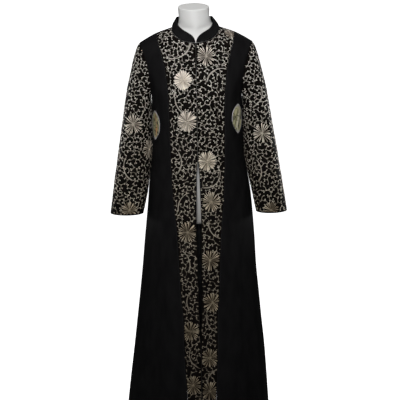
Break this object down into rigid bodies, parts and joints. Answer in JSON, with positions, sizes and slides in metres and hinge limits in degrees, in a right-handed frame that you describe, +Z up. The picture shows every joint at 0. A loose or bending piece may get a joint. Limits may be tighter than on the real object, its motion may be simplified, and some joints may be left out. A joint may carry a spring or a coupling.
{
  "type": "long kaftan on a limbless dress form with a stand",
  "caption": "Long-sleeved front-opening kaftan with patterned centre fronts and sleeves and plain flared side panels, hanging on a limbless dress form on a pole stand.",
  "frame": {"origin": "on the floor, at the middle of the underside of the stand's base", "axes": "+Z up, front of the garment facing -Y, +X to the right of someone who looks at the front"},
  "size_m": [0.614, 0.4109, 1.5115],
  "materials": {
    "black_crepe": "matt black crepe with a faint grain",
    "scroll_cloth": "black cloth embroidered with pale scrolls and large gold and cream flowers",
    "brocade": "olive and gold brocade with a pale edge",
    "form_shell": "smooth satin pale grey",
    "stand_metal": "matt black paint"
  },
  "bodies": {
    "root": {"front_centre_left": "scroll_cloth", "front_centre_right": "scroll_cloth", "front_side_left": "black_crepe", "front_side_right": "black_crepe", "back": "black_crepe", "sleeve_left": "scroll_cloth", "sleeve_right": "scroll_cloth", "collar": "black_crepe", "underarm_patch_left": "brocade", "underarm_patch_right": "brocade", "form_torso": "form_shell", "stand_pole": "stand_metal", "stand_base": "stand_metal"}
  },
  "joints": []
}
